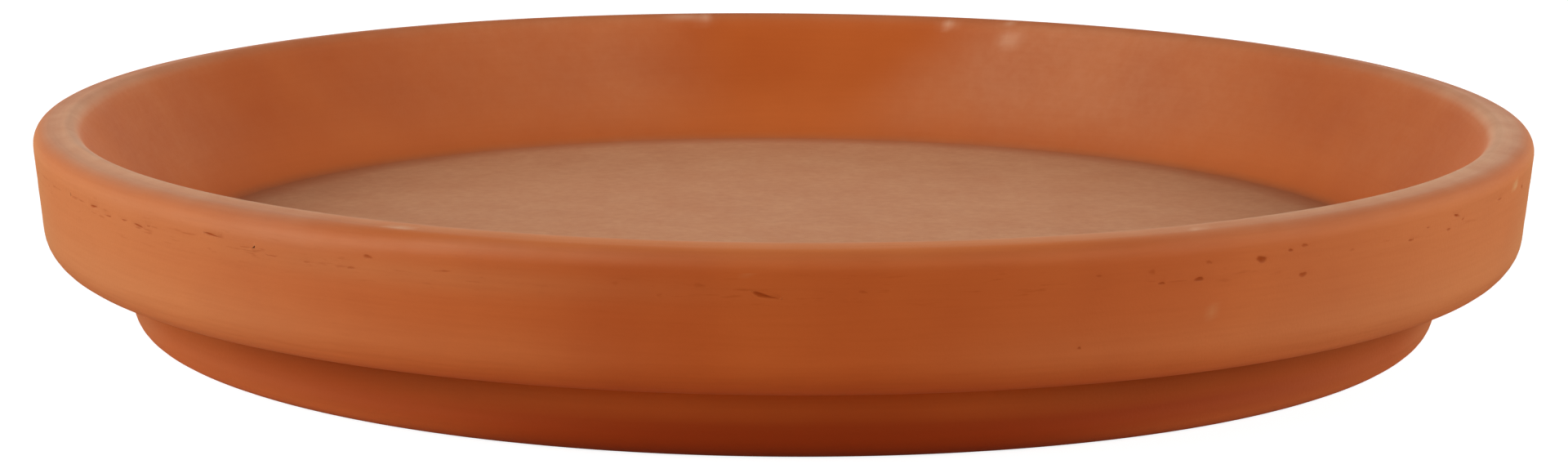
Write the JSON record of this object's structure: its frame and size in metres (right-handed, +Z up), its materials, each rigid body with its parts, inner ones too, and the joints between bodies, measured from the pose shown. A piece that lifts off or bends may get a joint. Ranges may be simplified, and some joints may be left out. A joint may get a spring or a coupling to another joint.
{
  "type": "plant saucer",
  "caption": "Round unglazed terracotta plant saucer: a flared collar with a rounded lip, stepped in to a lower foot, and a flat floor that holds a pot and the water that drains from it.",
  "frame": {"origin": "centre of the foot, on the surface that the saucer stands on", "axes": "+Z up along the saucer's own axis; X and Y lie in the surface below, and the form is the same all round"},
  "size_m": [0.2594, 0.2594, 0.036],
  "materials": {
    "terracotta": "unglazed, matt, dry to the touch"
  },
  "bodies": {
    "root": {"saucer": "terracotta"}
  },
  "joints": []
}
